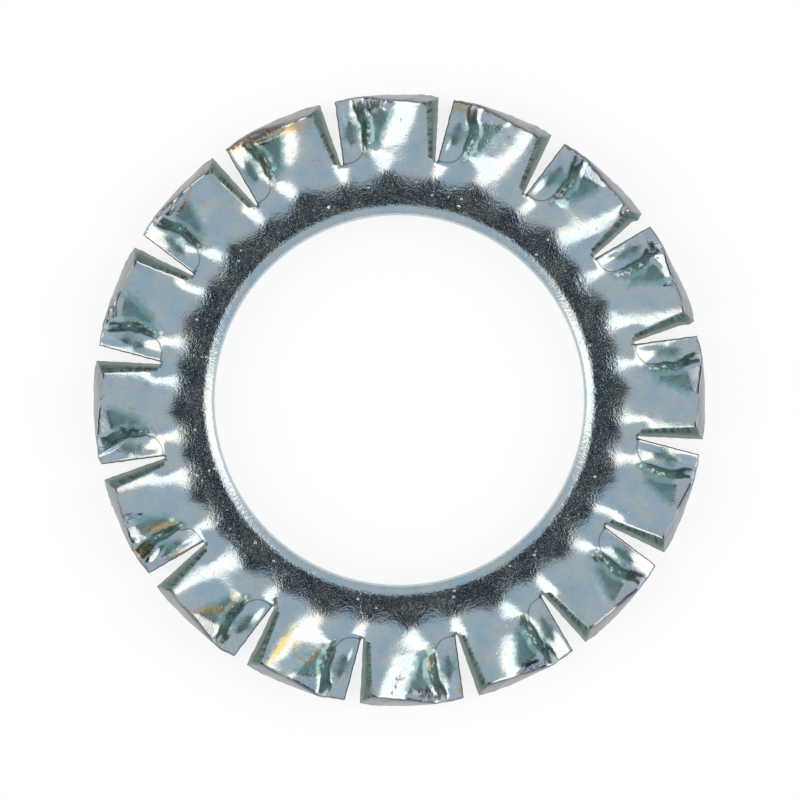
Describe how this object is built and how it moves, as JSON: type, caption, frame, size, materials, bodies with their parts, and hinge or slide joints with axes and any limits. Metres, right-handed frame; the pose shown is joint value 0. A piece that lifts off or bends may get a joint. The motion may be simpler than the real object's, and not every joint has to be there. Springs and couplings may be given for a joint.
{
  "type": "toothed lock washer",
  "caption": "Stamped steel ring with teeth cut all round its rim, each twisted so that its corners bite the screw head and the surface below it.",
  "frame": {"origin": "on the axis of the hole, in the middle of the sheet's thickness in the flat ring", "axes": "+Z along the hole's axis, out of the side whose hole edge is rounded; +Y outward through the middle of one tooth"},
  "size_m": [0.0178, 0.0178, 0.002],
  "materials": {
    "zinc_plated_steel": "zinc plated and passivated to a faint blue, with teal and golden stains on the worked teeth"
  },
  "bodies": {
    "root": {"lock_washer": "zinc_plated_steel"}
  },
  "joints": []
}
